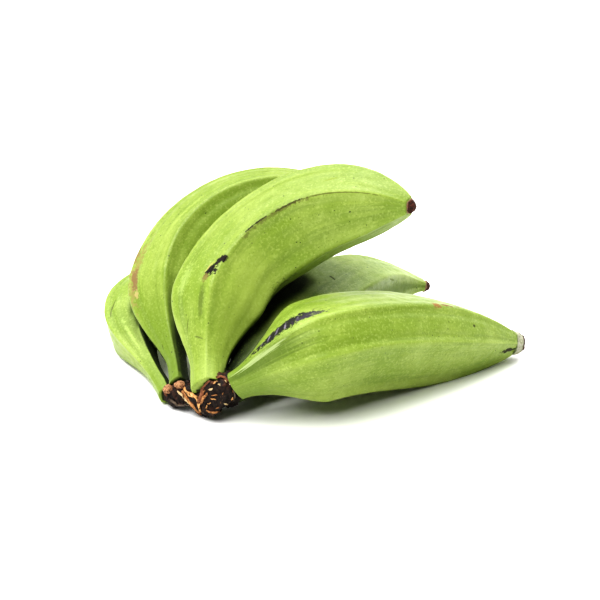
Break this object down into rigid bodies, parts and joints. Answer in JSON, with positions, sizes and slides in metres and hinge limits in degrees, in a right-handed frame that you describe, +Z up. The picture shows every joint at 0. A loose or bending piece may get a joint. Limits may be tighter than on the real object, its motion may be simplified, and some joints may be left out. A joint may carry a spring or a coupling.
{
  "type": "hand of green plantains",
  "caption": "Hand of green plantains joined at a dark cut crown: curved, ridged fingers that narrow to dry, dark blossom ends, lying on a surface.",
  "frame": {"origin": "on the surface that the hand lies on, in the middle of the hand's outer box", "axes": "+Z up, +X to the right along the lower front finger with the crown at the left, +Y away from the side that shows the crown's cut front"},
  "size_m": [0.2422, 0.215, 0.1164],
  "materials": {
    "peel": "waxy green peel with a satin sheen, paler on the ridges, with dark scuffs, tan scars and specks",
    "crown": "torn, dried and blackened plant fibre with tan peeled strips",
    "blossom_end": "dry, dull, dark brown plant tissue"
  },
  "bodies": {
    "root": {"crown": "crown", "finger_1": "peel", "finger_2": "peel", "finger_3": "peel", "finger_4": "peel", "finger_5": "peel", "blossom_end_1": "blossom_end", "blossom_end_2": "blossom_end", "blossom_end_3": "blossom_end", "blossom_end_4": "blossom_end", "blossom_end_5": "blossom_end"}
  },
  "joints": []
}
